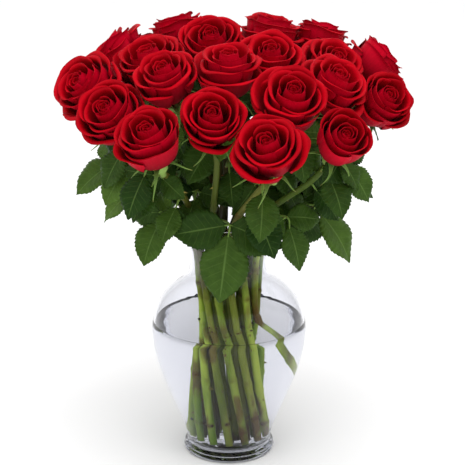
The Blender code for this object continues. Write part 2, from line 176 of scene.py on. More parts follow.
# Leaves that the stems carry under the heads: ranges of height over the rim, and how many of these
# a stem has, where that isn't FOLIAGE_USUAL
FOLIAGE_LEVELS = ((0.052, 0.070), (0.022, 0.040), (0.072, 0.090), (0.092, 0.108), (0.108, 0.124),
                  (0.036, 0.056))
FOLIAGE_USUAL = 5
FOLIAGE_COUNT = {10: 6, 11: 6, 12: 0, 13: 2, 14: 4, 15: 2, 16: 6, 17: 6, 18: 6, 19: 6, 20: 6, 21: 4,
                 22: 3, 23: 3, 24: 3}
# Ranges for their stalk's reach and rise, and for their end leaflet's reach and fall
FOLIAGE_OUT = (0.008, 0.016)
FOLIAGE_RISE = (0.004, 0.012)
FOLIAGE_REACH = (0.020, 0.034)
FOLIAGE_FALL = (0.030, 0.044)
FOLIAGE_TURN = 0.9
FOLIAGE_LIGHT = 0.35
# Leaves before this depth turn their faces to the front by this share of their outward direction
FRONT_LIMIT = 0.03
FRONT_TURN = 0.8

# Vase and water
TURNED_STEPS = 144
FOOT_LEVELS = 12
WALL_LEVELS = 60
WATER_INTO_WALL = 0.00012
MENISCUS_HEIGHT = 0.0016
MENISCUS_REACH = 0.0011
GLASS_INDEX = 1.5
GLASS_COLOUR = (0.885, 0.890, 0.922, 1)
GLASS_SHINE = (0.25, 0.25, 0.27, 1)
GLASS_ABSORBED = (0.757, 0.762, 0.785, 1)
GLASS_DENSITY = 42.0
# Lower than water's 1.333, which leaves darker crescents at the sides of the surface
WATER_INDEX = 1.2
WATER_COLOUR = (0.995, 0.998, 0.995, 1)
WATER_SHINE = (0.3, 0.3, 0.3, 1)
WATER_ABSORBED = (0.78, 0.79, 0.83, 1)
WATER_DENSITY = 4.0

# The studio
LAMP_PLACE = (0.1, -0.45, 1.7)
LAMP_TARGET = (0, 0, 0.3)
LAMP_SIDE = 1.2
LAMP_POWER = 14
BOUNCES = 24
FLOOR_REACH = 9.0
FLOOR_LINES = 37
FLOOR_DROP = 0.0004
FLOOR_THICKNESS = 0.01


# Meshes


class Shape:
    """Points, faces and per-point marks gathered from closed bodies into one mesh."""

    def __init__(self):
        self.points, self.faces, self.slots, self.marks, self.count = [], [], [], [], 0

    def add(self, points, faces, slot=0, **marks):
        points = np.asarray(points, float).reshape(-1, 3)
        self.points.append(points)
        self.faces.extend((np.asarray(f) + self.count, slot) for f in faces)
        self.marks.append((len(points), marks))
        self.count += len(points)

    def build(self, name, materials):
        points = np.concatenate(self.points)
        mesh = bpy.data.meshes.new(name)
        loops = np.concatenate([f.reshape(-1) for f, _ in self.faces])
        totals = np.concatenate([np.full(len(f), f.shape[1]) for f, _ in self.faces])
        slots = np.concatenate([np.full(len(f), slot) for f, slot in self.faces])
        mesh.vertices.add(len(points))
        mesh.vertices.foreach_set("co", points.astype(np.float32).reshape(-1))
        mesh.loops.add(len(loops))
        mesh.loops.foreach_set("vertex_index", loops.astype(np.int32))
        mesh.polygons.add(len(totals))
        starts = np.concatenate([[0], np.cumsum(totals)[:-1]])
        mesh.polygons.foreach_set("loop_start", starts.astype(np.int32))
        mesh.polygons.foreach_set("material_index", slots.astype(np.int32))
        mesh.update(calc_edges=True)
        mesh.validate()
        mesh.shade_smooth()
        for mark in sorted({m for _, marks in self.marks for m in marks}):
            values = [np.broadcast_to(marks.get(mark, 0.0), n) for n, marks in self.marks]
            layer = mesh.attributes.new(mark, "FLOAT", "POINT")
            layer.data.foreach_set("value", np.concatenate(values).astype(np.float32))
        for material in materials:
            mesh.materials.append(material)
        made = bpy.data.objects.new(name, mesh)
        bpy.context.scene.collection.objects.link(made)
        return made


def grid_faces(rows, columns, wrap=False):
    """Quads of a grid of points, row by row, closed round its columns if wrap is set."""
    row = np.arange(rows - 1)[:, None] * columns
    column = np.arange(columns if wrap else columns - 1)[None, :]
    after = (column + 1) % columns
    corners = (row + column, row + after, row + columns + after, row + columns + column)
    return np.stack([np.broadcast_to(c, (rows - 1, column.shape[1])).reshape(-1) for c in corners], 1)


def sheet_faces(rows, columns):
    """Faces of a thin closed body whose front grid comes first and whose back grid follows."""
    front = grid_faces(rows, columns)
    back = front[:, ::-1] + rows * columns
    index = np.arange(rows * columns).reshape(rows, columns)
    edge = np.concatenate([index[0, :-1], index[:-1, -1], index[-1, :0:-1], index[:0:-1, 0]])
    after = np.roll(edge, -1)
    rim = np.stack([after, edge, edge + rows * columns, after + rows * columns], 1)
    return np.concatenate([front, back, rim])


def thickened(grid, thickness):
    """The front and back grids of a sheet; thickness is one number or one for each point."""
    normals = np.cross(np.gradient(grid, axis=1), np.gradient(grid, axis=0))
    normals /= np.linalg.norm(normals, axis=2, keepdims=True) + 1e-12
    offset = normals * (0.5 * np.broadcast_to(thickness, grid.shape[:2]))[..., None]
    return grid + offset, grid - offset


def smooth_path(points, spacing):
    """A Catmull-Rom curve through the points, evenly spaced."""
    points = np.asarray(points, float)
    ends = np.concatenate([[2 * points[0] - points[1]], points, [2 * points[-1] - points[-2]]])
    fine = []
    for a, b, c, d in zip(ends, ends[1:], ends[2:], ends[3:]):
        square, cube = 2 * a - 5 * b + 4 * c - d, 3 * b - a - 3 * c + d
        for t in np.linspace(0, 1, 9)[:-1]:
            fine.append(0.5 * (2 * b + (c - a) * t + square * t**2 + cube * t**3))
    fine = np.array(fine + [points[-1]])
    length = np.concatenate([[0], np.cumsum(np.linalg.norm(np.diff(fine, axis=0), axis=1))])
    steps = np.linspace(0, length[-1], max(3, int(length[-1] / spacing) + 1))
    return np.stack([np.interp(steps, length, fine[:, axis]) for axis in range(3)], 1)


def sideways_along(points):
    """Two unit vectors across the path at each of its points, turning as little as they can."""
    tangents = np.gradient(points, axis=0)
    tangents /= np.linalg.norm(tangents, axis=1, keepdims=True)
    side = np.cross(tangents[0], (0.3, 1.0, 0.2))
    first = []
    for tangent in tangents:
        side = side - tangent * side.dot(tangent)
        side = side / np.linalg.norm(side)
        first.append(side)
    first = np.array(first)
    return first, np.cross(tangents, first)


def add_tube(shape, points, radii, sides, slot=0, **marks):
    """A closed rod round the path, with a radius for each point, or for each point and side."""
    points = np.asarray(points, float)
    radii = np.broadcast_to(np.asarray(radii, float).reshape(len(points), -1), (len(points), sides))
    a, b = sideways_along(points)
    turn = np.linspace(0, 2 * math.pi, sides, endpoint=False)
    ring = a[:, None] * np.cos(turn)[None, :, None] + b[:, None] * np.sin(turn)[None, :, None]
    body = points[:, None] + ring * radii[..., None]
    n = len(points)
    allpoints = np.concatenate([body.reshape(-1, 3), points[:1], points[-1:]])
    quads = grid_faces(n, sides, wrap=True)
    side = np.arange(sides)
    after = (side + 1) % sides
    low = np.stack([after, side, np.full(sides, n * sides)], 1)
    high = np.stack([(n - 1) * sides + side, (n - 1) * sides + after, np.full(sides, n * sides + 1)], 1)
    along = np.concatenate([np.repeat(np.linspace(0, 1, n), sides), [0, 1]])
    across = np.concatenate([np.tile(turn / (2 * math.pi), n), [0, 0]])
    given = {"along": along, "across": across}
    given.update(marks)
    shape.add(allpoints, [quads, low, high], slot, **given)


# What the frame says


def points_of(node):
    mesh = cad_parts[node].data
    points = np.empty(len(mesh.vertices) * 3, np.float32)
    mesh.vertices.foreach_get("co", points)
    return points.reshape(-1, 3).astype(float)


def triangles_of(node):
    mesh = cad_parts[node].data
    mesh.calc_loop_triangles()
    index = np.empty(len(mesh.loop_triangles) * 3, np.int32)
    mesh.loop_triangles.foreach_get("vertices", index)
    return points_of(node)[index.reshape(-1, 3)]


def slice_at(triangles, level):
    """Both ends of each segment in which the surface crosses a level."""
    segments = []
    low, high = triangles[:, :, 2].min(1), triangles[:, :, 2].max(1)
    for corners in triangles[(low < level) & (high > level)]:
        ends = []
        for a, b in ((0, 1), (1, 2), (2, 0)):
            za, zb = corners[a, 2], corners[b, 2]
            if (za < level) != (zb < level):
                ends.append(corners[a] + (corners[b] - corners[a]) * (level - za) / (zb - za))
        if len(ends) == 2:
            segments.append(ends)
    return np.array(segments)


def centre_at(triangles, level):
    segments = slice_at(triangles, level)
    lengths = np.linalg.norm(segments[:, 1] - segments[:, 0], axis=1)
    return (segments.mean(1) * lengths[:, None]).sum(0) / lengths.sum()


def volume_centre(triangles):
    volumes = np.einsum("ij,ij->i", triangles[:, 0], np.cross(triangles[:, 1], triangles[:, 2]))
    return (triangles.sum(1) / 4 * volumes[:, None]).sum(0) / volumes.sum()


def unit(vector):
    return np.asarray(vector, float) / np.linalg.norm(vector)


def head_of(number):
    """A head's base, axis, height and radius."""
    middle = volume_centre(triangles_of(f"bloom_{number:02d}"))
    stem = points_of(f"stem_{number:02d}")
    axis = unit(middle - stem[np.argmin(np.linalg.norm(stem - middle, axis=1))])
    for _ in range(3):
        reach = stem @ axis
        cap = stem[reach > reach.max() - 0.0012]
        axis = unit(middle - (cap.max(0) + cap.min(0)) / 2)
    head = points_of(f"bloom_{number:02d}")
    reach = (head - middle) @ axis
    base = middle + axis * reach.min()
    beside = (head - middle) - reach[:, None] * axis
    return {
        "base": base,
        "axis": axis,
        "height": HEAD_HEIGHT * (reach.max() - reach.min()),
        "radius": np.linalg.norm(beside, axis=1).max(),
    }


def turned_heads(heads):
    """Lowers, narrows and turns the heads that differ from their CAD solids."""
    for number, drop in LOWERED.items():
        heads[number]["base"] = heads[number]["base"] - (0, 0, drop)
    for number, share in RADIUS_SHARE.items():
        heads[number]["radius"] *= share
    for number, (lean, azimuth) in FACING.items():
        head = heads[number]
        middle = head["base"] + head["axis"] * 0.5 * head["height"]
        tilt, turn = math.radians(lean), math.radians(azimuth)
        flat = math.sin(tilt)
        head["axis"] = np.array((flat * math.cos(turn), flat * math.sin(turn), math.cos(tilt)))
        head["base"] = middle - head["axis"] * 0.5 * head["height"]
    return heads


def stem_line(number, head):
    """The stem's centreline, from its cut foot to the shoulder of its hip."""
    triangles = triangles_of(f"stem_{number:02d}")
    points = triangles.reshape(-1, 3)
    shoulder = head["base"] - head["axis"] * HIP_LENGTH
    lowest = points[:, 2].min()
    levels = np.arange(lowest + 0.005, shoulder[2] - 0.006, 0.008)
    centres = [centre_at(triangles, level) for level in levels]
    down = unit(centres[0] - centres[1])
    near = points[points[:, 2] < lowest + 0.012]
    foot = centres[0] + down * ((near - centres[0]) @ down).max()
    line = smooth_path([foot, *centres, shoulder], STEM_STEP)
    for _ in range(14):
        line[1:-1] = 0.25 * line[:-2] + 0.5 * line[1:-1] + 0.25 * line[2:]
    return line


# Rose heads


def petal_rows(p, rng):
    """One petal as a grid of points about +Z, in units of the head's radius and height."""
    u = np.linspace(-1, 1, PETAL_COLUMNS)[None, :]
    v = np.linspace(0, 1, PETAL_ROWS)[:, None] ** 0.9
    side = np.abs(u)
    outline = 1 - p["drop"] * side**2.6 + p["point"] * np.exp(-((u / POINT_WIDTH) ** 2))
    s = v * outline
    body = np.clip(s / p["rim"], 0, 1)
    over = np.clip((s - p["rim"]) / (1 - p["rim"]), 0, None)
    radius = p["root"] + (p["radius"] - p["root"]) * (1 - (1 - body) ** p["belly"])
    radius = radius + p["flare"] * body**4 - p["close"] * body**3
    height = p["base"] + (p["top"] - p["base"]) * body + TILT_SHARE * p["tilt"] * u * body**2
    start = math.atan2(4 * p["flare"] - 3 * p["close"], (p["top"] - p["base"]) * TALL)
    roll = p["roll"] * (0.55 + 0.70 * side**1.3) * (1 + 0.25 * np.sin(2.3 * u + p["azimuth"])) + 0.02
    curve = p["lip"] / roll
    radius = radius + curve * (math.cos(start) - np.cos(start + roll * over))
    height = height + curve * (np.sin(start + roll * over) - math.sin(start)) / TALL
    spread = np.interp(s, (0, 0.15, 0.35, 0.62, 1.0), (0.34, 0.55, 0.82, 1.0, 0.93))
    azimuth = p["azimuth"] + u * p["half"] * spread
    radius = radius + p["spiral"] * u * (0.35 + 0.65 * body) - p["cup"] * u**2 * body**2
    radius = radius + p["edge"] * np.clip(side - 0.55, 0, None) ** 2 * body**2
    phase, rate = rng.uniform(0, 6.28, 3), rng.uniform(2.2, 4.2, 3)
    wave = np.sin(u * rate[0] + phase[0]) + 0.5 * np.sin(u * 2.1 * rate[1] + phase[1])
    radius = radius + p["wave"] * wave * body**3
    height = height + 0.6 * p["wave"] * np.sin(u * 1.7 * rate[2] + phase[2]) * body**3
    frill = FRILL_SHARE * p["wave"] * over * np.sin(u * 9 + phase[2])
    radius = np.clip(radius + 0.5 * frill, 0.006, None)
    return np.stack([radius * np.cos(azimuth), radius * np.sin(azimuth), height + 0.5 * frill], 2), s


def petals_of(openness, rng):
    """The petals of a head from its heart outwards."""
    turn = 0
    for layer in LAYERS:
        loose = layer["loose"]
        guard = layer["name"] == "guard"
        if guard and openness < GUARDED_OPENNESS:
            continue
        for k in range(layer["count"]):
            t = k / max(1, layer["count"] - 1)
            turn += 1

            def at(key):
                low, high = layer[key]
                return low + (high - low) * t

            blown = 1 + loose * (1.5 * openness - 0.75)
            splay = 0.16 * max(0.0, openness - 0.75) if loose == 1 else 0.0
            fallen = FALLEN_FLARE if guard and k == 0 and openness > FALLEN_OPENNESS else 0.0
            yield {
                "azimuth": turn * GOLDEN_ANGLE + rng.uniform(-0.16, 0.16),
                "half": math.radians(at("half") + rng.uniform(-5, 5)),
                "root": 0.03 + 0.20 * at("radius"),
                "radius": at("radius") * (1 + 0.06 * loose * (openness - 0.5))
                + rng.uniform(-1, 1) * (0.008 + 0.02 * loose),
                "belly": 2.2 + 0.9 * at("radius"),
                "base": 0.02 + 0.20 * (1 - at("radius")),
                "top": at("top") - 0.10 * loose * (openness - 0.5)
                + rng.uniform(-0.015, 0.015) * (1 + 2 * loose),
                "tilt": rng.uniform(-1, 1) * (0.015 + 0.035 * loose),
                "rim": 0.82 - 0.14 * loose,
                "close": at("close"),
                "flare": at("flare") * blown + splay
                + rng.uniform(-0.03, 0.06) * loose**2 * openness + fallen,
                "roll": at("roll") * blown * (1 + (0.15 + 0.2 * loose) * rng.uniform(-1, 1)),
                "lip": at("lip") * (0.75 + 0.5 * openness),
                "drop": 0.10 + 0.08 * loose,
                "point": (0.01 + 0.07 * loose) * rng.uniform(0.3, 1.5),
                "spiral": at("spiral"),
                "cup": at("cup"),
                "edge": 0.30 * loose * openness * rng.uniform(0.2, 1.3),
                "wave": at("wave"),
            }


def pressed(points, number, heads):
    """Holds a head's points on its own side of the planes between it and its neighbours."""
    own = heads[number]
    here = own["base"] + own["axis"] * 0.5 * own["height"]
    for other, head in heads.items():
        there = head["base"] + head["axis"] * 0.5 * head["height"]
        apart = np.linalg.norm(there - here)
        if other == number or apart > NEAR_HEADS:
            continue
        toward = (there - here) / apart
        plane = 0.5 * apart + (own["radius"] ** 2 - head["radius"] ** 2) / (2 * apart)
        past = (points - here) @ toward - (plane - PRESS_ROOM)
        excess = np.clip(past, 0, None)
        held = PRESS_ROOM * (1 - np.exp(-excess / PRESS_ROOM))
        points = points - toward * (excess - held)[:, None]
    return points


def make_head(number, heads, material):
    head = heads[number]
    rng = np.random.RandomState(400 + number)
    shape = Shape()
    upright = np.array(Vector(head["axis"]).to_track_quat("Z", "X").to_matrix())
    spin = rng.uniform(0, 6.28)
    radius = head["radius"] * HEAD_SPREAD
    openness = OPENNESS.get(number, OPENNESS_USUAL + rng.uniform(-0.12, 0.12))
    faces = sheet_faces(PETAL_ROWS, PETAL_COLUMNS)
    across = np.tile(np.linspace(-1, 1, PETAL_COLUMNS), PETAL_ROWS)
    edge = np.maximum(np.abs(across), 0.92 * np.repeat(np.linspace(0, 1, PETAL_ROWS), PETAL_COLUMNS))
    taper = (1 - 0.6 * np.clip((edge - 0.8) / 0.2, 0, 1)).reshape(PETAL_ROWS, PETAL_COLUMNS)
    for petal in petals_of(openness, rng):
        petal["azimuth"] += spin
        grid, reached = petal_rows(petal, rng)
        grid = grid * (radius, radius, head["height"])
        grid = head["base"] + grid @ upright.T
        grid = pressed(grid.reshape(-1, 3), number, heads).reshape(grid.shape)
        front, back = thickened(grid, PETAL_THICKNESS * taper)
        size = grid.shape[0] * grid.shape[1]
        shape.add(
            np.concatenate([front.reshape(-1, 3), back.reshape(-1, 3)]),
            [faces],
            along=np.tile(reached.reshape(-1), 2),
            across=np.tile(across, 2),
            behind=np.repeat([1.0, 0.0], size),
            tint=rng.uniform(0, 1),
        )
    made = shape.build(f"rose_{number:02d}", [material])
    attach(made, "root")
    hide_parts(f"bloom_{number:02d}")
    return made


# Stems


def add_sepal(shape, head, azimuth, rng):
    """A long thin sepal that leaves the top of the hip, spreads and curls down."""
    a = unit(np.cross(head["axis"], (0.2, 0.1, 1.0)))
    b = np.cross(head["axis"], a)
    out = a * math.cos(azimuth) + b * math.sin(azimuth)
    side = np.cross(head["axis"], out)
    length = rng.uniform(*SEPAL_LENGTH)
    turn, bend = rng.uniform(0.5, 1.1), rng.uniform(1.1, 2.4)
    rows, columns = SEPAL_ROWS, SEPAL_COLUMNS
    point = head["base"] - head["axis"] * 0.0015 + out * 0.0042
    spine, ups = [], []
    for k in range(rows):
        t = k / (rows - 1)
        angle = turn + bend * t**0.8
        heading = head["axis"] * math.cos(angle) + out * math.sin(angle)
        spine.append(point)
        ups.append(out * -math.cos(angle) + head["axis"] * math.sin(angle))
        point = point + heading * length / (rows - 1) + side * 0.0012 * math.sin(4 * t + azimuth) * t
    t = np.linspace(0, 1, rows)
    width = SEPAL_WIDTH * np.interp(t, (0, 0.12, 0.3, 0.6, 1.0), (0.75, 1.0, 0.62, 0.26, 0.06))
    u = np.linspace(-1, 1, columns)
    grid = (
        np.array(spine)[:, None]
        + side * (width[:, None] * u)[..., None]
        + np.array(ups)[:, None] * (0.35 * width[:, None] * u**2)[..., None]
    )
    front, back = thickened(grid, LEAF_THICKNESS)
    shape.add(
        np.concatenate([front.reshape(-1, 3), back.reshape(-1, 3)]),
        [sheet_faces(rows, columns)],
        1,
        along=np.tile(np.repeat(t, columns), 2),
        across=np.tile(u, 2 * rows),
        behind=np.repeat([0.0, 1.0], rows * columns),
        tint=rng.uniform(0, 1),
    )


def add_thorn(shape, point, out, climb, size, tint):
    """A broad-based thorn that hooks slightly down."""
    ring = []
    side = np.cross(climb, out)
    for share, width in ((0.0, 1.0), (0.3, 0.62), (0.65, 0.30), (1.0, 0.06)):
        middle = point + out * size * share - climb * size * 0.35 * share**2
        for k in range(6):
            turn = math.pi * k / 3
            up, wide = climb * math.cos(turn) * 0.55, side * math.sin(turn) * 0.26
            ring.append(middle + (up + wide) * size * width)
    ring += [point, middle]
    quads = grid_faces(4, 6, wrap=True)
    k = np.arange(6)
    after = (k + 1) % 6
    low = np.stack([after, k, np.full(6, 24)], 1)
    high = np.stack([18 + k, 18 + after, np.full(6, 25)], 1)
    shape.add(ring, [quads[:, ::-1], low[:, ::-1], high[:, ::-1]], 0, thorn=1.0, tint=tint)


def make_stem(number, heads, materials):
    head = heads[number]
    rng = np.random.RandomState(700 + number)
    shape = Shape()
    line = stem_line(number, head)
    count = len(line)
    length = STEM_STEP * (count - 1)
    step = np.arange(count)
    line[:, :2] += STEM_WOBBLE * np.stack([np.sin(step / 7.0 + number), np.cos(step / 9.0)], 1)
    climb = np.gradient(line, axis=0)
    climb /= np.linalg.norm(climb, axis=1, keepdims=True)
    at = np.linspace(0, length, count)
    radii = np.interp(at / length, (0, 0.5, 1.0), STEM_RADII)
    tint = rng.uniform(0, 1)
    node_count = int((length - 0.04) / NODE_SPACING)
    nodes = [0.02 + NODE_SPACING * k + rng.uniform(-0.008, 0.008) for k in range(node_count)]
    scar = np.zeros(count)
    for node in nodes:
        bump = np.exp(-(((at - node) / 0.0026) ** 2))
        radii = radii + NODE_SWELLING * bump
        scar = np.maximum(scar, np.exp(-(((at - node - 0.001) / 0.0016) ** 2)))
    turn = np.linspace(0, 2 * math.pi, STEM_SIDES, endpoint=False)
    ridge = 1 + 0.035 * np.cos(3 * turn + tint * 6)[None, :]
    if number == BENT_STEM:
        scar = np.maximum(scar, np.interp(at, (0.0, 0.085, 0.11), (0.75, 0.9, 0.0)))
    marks = np.concatenate([np.repeat(scar, STEM_SIDES), [0, 0]])
    height = np.concatenate([np.repeat(at / length, STEM_SIDES), [0, 1]])
    inner = float(number in INNER_STEMS)
    thick = radii[:, None] * ridge
    add_tube(shape, line, thick, STEM_SIDES, tint=tint, scar=marks, along=height, inner=inner)
    a, b = sideways_along(line)
    for _ in range(int(length / THORN_SPACING)):
        place = rng.uniform(0.02, length - 0.035)
        i = int(place / length * (count - 1))
        angle = rng.uniform(0, 2 * math.pi)
        out = a[i] * math.cos(angle) + b[i] * math.sin(angle)
        add_thorn(shape, line[i] + out * radii[i] * 0.86, out, climb[i], rng.uniform(*THORN_SIZE), tint)
    for node in nodes[::2]:
        i = int(node / length * (count - 1))
        angle = rng.uniform(0, 2 * math.pi)
        out = unit(a[i] * math.cos(angle) + b[i] * math.sin(angle) + climb[i] * 0.9)
        stub = [line[i] + out * s for s in (0.0015, 0.0035, 0.0052, 0.0066)]
        add_tube(shape, stub, (0.0015, 0.0013, 0.0012, 0.0009), 8, tint=tint, scar=1.0)
    axis_points = [head["base"] - head["axis"] * HIP_LENGTH * (1 - share) for share, _ in HIP_PROFILE]
    add_tube(shape, axis_points, [HIP_RADIUS * r for _, r in HIP_PROFILE], 16, 1, tint=tint, across=0.0)
    start = rng.uniform(0, 6.28)
    for k in range(5):
        add_sepal(shape, head, start + 2 * math.pi * k / 5 + rng.uniform(-0.2, 0.2), rng)
    add_foliage(shape, line, number, rng, (2, 3))
    made = shape.build(f"stalk_{number:02d}", materials)
    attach(made, "root")
    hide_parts(f"stem_{number:02d}")
    return line


# Leaves


def add_blade(shape, base, tip, facing, width, rng, light, slot):
    """A leaflet: pointed, toothed, folded along its midrib, with its veins sunk in."""
    along = tip - base
    length = np.linalg.norm(along)
    forward = along / length
    side = unit(np.cross(forward, facing))
    up = np.cross(side, forward)
    t = np.array([(tooth + f) / LEAF_TEETH for tooth in range(LEAF_TEETH) for f in TOOTH_STEPS] + [1.0])
    rows = len(t)
    outline = np.interp(t, *LEAF_OUTLINE)
    saw = np.array(TOOTH_STEPS * LEAF_TEETH + (0.0,))
    depth = TOOTH_DEPTH[0] + TOOTH_DEPTH[1] * rng.uniform(0, 1)
    half = 0.5 * width * outline + depth * (saw - 0.6) * np.clip(6 * t, 0, 1) * np.clip(8 * (1 - t), 0, 1)
    half = np.clip(half, 0.0002, None)
    u = np.linspace(-1, 1, LEAF_COLUMNS)
    across = np.sign(u) * np.abs(u) ** 0.85
    twist, curl = rng.uniform(-0.35, 0.35), rng.uniform(0.04, 0.16)
    droop = rng.uniform(-0.02, 0.06)
    bow = up * length * (0.26 * t * (1 - t) - droop * t**3)[:, None]
    fold = half[:, None] * np.abs(across) * (0.16 + 0.10 * rng.uniform(-1, 1))
    veins = t[:, None] * VEIN_PAIRS - np.abs(across) * 1.5
    quilt = 0.00032 * np.cos(2 * math.pi * veins) * np.sin(math.pi * np.abs(across))
    edge_wave = 0.0010 * np.sin(t[:, None] * 13 + np.sign(across) * 1.3 + twist * 9) * across**2
    lift = fold + quilt + edge_wave - curl * half[:, None] * across**4
    sway = half[:, None] * across * np.sin(twist * t[:, None])
    grid = (
        base
        + (forward * length * t[:, None])[:, None]
        + bow[:, None]
        + side * (half[:, None] * across * np.cos(twist * t[:, None]))[..., None]
        + up * (lift + sway)[..., None]
    )
    front, back = thickened(grid, LEAF_THICKNESS)
    faces = sheet_faces(rows, LEAF_COLUMNS)
    if np.dot(np.cross(grid[5, 5] - grid[5, 4], grid[6, 4] - grid[5, 4]), up) < 0:
        front, back = back, front
        faces = faces[:, ::-1]
    shape.add(
        np.concatenate([front.reshape(-1, 3), back.reshape(-1, 3)]),
        [faces],
        slot,
        along=np.tile(np.repeat(t, LEAF_COLUMNS), 2),
        across=np.tile(across, 2 * rows),
        behind=np.repeat([0.0, 1.0], rows * LEAF_COLUMNS),
        tint=rng.uniform(0, 1),
        light=light,
    )


def turned_about(vector, axis, degrees):
    return np.array(Matrix.Rotation(math.radians(degrees), 3, Vector(axis)) @ Vector(vector))


def add_spray(shape, on_stem, out, reach, pairs, light, rng, slots):
    """A compound leaf: a stalk from the stem to its fork, an end leaflet and pairs of side leaflets."""
    blade_slot, stalk_slot = slots
    fork = on_stem + out
    length = np.linalg.norm(reach) - END_STALK
    facing = unit((fork[0], fork[1], 0)) + (0, -FRONT_TURN if fork[1] < FRONT_LIMIT else 0, 0.5)
    width = length * LEAF_WIDTH_SHARE
    middle = on_stem + 0.5 * out + (0, 0, 0.06 * np.linalg.norm(out))
    neck = fork + unit(reach) * (END_STALK + 0.004)
    stalk = smooth_path([on_stem, middle, fork, neck], 0.002)
    thick = np.linspace(1.5, 0.6, len(stalk)) * STALK_RADIUS
    add_tube(shape, stalk, thick, 8, stalk_slot, tint=rng.uniform(0, 1), light=light)
    add_blade(shape, fork + unit(reach) * END_STALK, fork + reach, facing, width, rng, light, blade_slot)
    flat = np.cross(unit(np.cross(reach, facing)), reach)
    for root, behind in [(fork, middle), (middle, on_stem)][:pairs]:
        for hand in (-1, 1):
            start = root + unit(behind - root) * (SIDE_LEAF_STEP if hand > 0 else 0)
            heading = unit(turned_about(reach, flat, hand * (SIDE_LEAF_ANGLE + rng.uniform(-5, 5))))
            size = SIDE_LEAF_SHARE * rng.uniform(0.92, 1.04)
            end = start + heading * length * size
            stub = [start, start + heading * 0.002, start + heading * 0.0045]
            add_tube(shape, stub, (0.0010, 0.0009, 0.0008), 8, stalk_slot, light=light)
            tilt = facing + 0.4 * rng.uniform(-1, 1, 3)
            add_blade(shape, start + heading * 0.003, end, tilt, width * size, rng, light, blade_slot)


def add_foliage(shape, line, number, rng, slots):
    """The stem's upper leaves, which fill the shade under the heads."""
    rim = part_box("vase")[1].z
    for low, high in FOLIAGE_LEVELS[: FOLIAGE_COUNT.get(number, FOLIAGE_USUAL)]:
        level = rim + rng.uniform(low, high)
        on_stem = line[int(np.argmin(np.abs(line[:, 2] - level)))]
        azimuth = math.atan2(on_stem[1], on_stem[0]) + rng.uniform(-FOLIAGE_TURN, FOLIAGE_TURN)
        away = np.array((math.cos(azimuth), math.sin(azimuth), 0))
        out = away * rng.uniform(*FOLIAGE_OUT) + (0, 0, rng.uniform(*FOLIAGE_RISE))
        reach = away * rng.uniform(*FOLIAGE_REACH) + (0, 0, -rng.uniform(*FOLIAGE_FALL))
        pairs, light = rng.randint(0, 2), rng.uniform(0.0, FOLIAGE_LIGHT)
        add_spray(shape, on_stem, out, reach, pairs, light, rng, slots)


def make_leaf(number, leaf, lines, materials):
    stem, over_rim, out, blade, pairs, light = leaf
    rng = np.random.RandomState(900 + number)
    line = lines[stem]
    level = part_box("vase")[1].z + over_rim
    on_stem = line[int(np.argmin(np.abs(line[:, 2] - level)))]
    shape = Shape()
    add_spray(shape, on_stem, np.array(out), np.array(blade), pairs, light, rng, (0, 1))
    made = shape.build(f"spray_{number:02d}", materials)
    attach(made, "root")
    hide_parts(f"leaf_{number:02d}")
    return made


# Vase and water


def turned(name, outline, material):
    """A closed body turned from an outline that starts and ends on the axis."""
    steps = TURNED_STEPS
    outline = np.asarray(outline, float)
    inner = outline[1:-1]
    turn = np.linspace(0, 2 * math.pi, steps, endpoint=False)
    ring = np.stack([np.cos(turn), np.sin(turn)], 1)
    n = len(inner)
    levels = np.broadcast_to(inner[:, None, 1:], (n, steps, 1))
    body = np.concatenate([inner[:, None, :1] * ring[None], levels], 2)
    points = np.concatenate([body.reshape(-1, 3), [[0, 0, outline[0, 1]], [0, 0, outline[-1, 1]]]])
    k = np.arange(steps)
    after = (k + 1) % steps
    low = np.stack([after, k, np.full(steps, n * steps)], 1)
    high = np.stack([(n - 1) * steps + k, (n - 1) * steps + after, np.full(steps, n * steps + 1)], 1)
    shape = Shape()
    shape.add(points, [grid_faces(n, steps, wrap=True), low, high])
    return shape.build(name, [material])


def wall_at(vase, level):
    """The vase's outer and inner radius at a level, from its CAD solid; inner is 0 in its floor."""
    reach = np.linalg.norm(slice_at(vase, level)[:, :, :2].reshape(-1, 2), axis=1)
    outer = reach.max()
    inside = reach[reach < outer - 0.0015]
    return outer, (inside.max() if len(inside) else 0.0)


def make_vase(material):
    vase = triangles_of("vase")
    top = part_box("vase")[1].z
    levels = np.concatenate([
        np.linspace(0.009, 0.03, FOOT_LEVELS),
        np.linspace(0.034, top - 0.0035, WALL_LEVELS),
    ])
    walls = np.array([wall_at(vase, level) for level in levels])
    n = FOOT_LEVELS
    for _ in range(2):
        walls[n + 1:-1] = 0.25 * walls[n:-2] + 0.5 * walls[n + 1:-1] + 0.25 * walls[n + 2:]
    foot = wall_at(vase, 0.004)[0]
    heel = [
        (0.0, 0.0030), (0.018, 0.0027), (0.030, 0.0016), (0.0355, 0.0004), (0.0385, 0.0),
        (foot - 0.0022, 0.0002), (foot - 0.0006, 0.0012), (foot, 0.0026), (foot - 0.0003, 0.0041),
        (foot - 0.0014, 0.0048), (foot - 0.0015, 0.0054), (foot - 0.0009, 0.0062), (foot - 0.0013, 0.0072),
        (foot - 0.0030, 0.0080),
    ]
    outer = [(r, z) for (r, _), z in zip(walls, levels) if z > 0.0105]
    rim = outer[-1][0]
    lip = [
        (rim + 0.0007, top - 0.0022), (rim + 0.0008, top - 0.0009), (rim + 0.0001, top - 0.0001),
        (rim - 0.0012, top), (rim - 0.0023, top - 0.0006), (rim - 0.0028, top - 0.0020),
    ]
    inner = [(r, z) for (_, r), z in zip(walls, levels) if r > 0 and z > 0.0125][::-1]
    corner = inner[-1][0]
    floor = [(corner - 0.0012, 0.0106), (corner - 0.005, 0.0092), (0.022, 0.0087), (0.0, 0.0089)]
    made = turned("vase_glass", heel + outer + lip + inner + floor, material)
    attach(made, "root")
    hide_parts("vase")
    return inner[::-1]


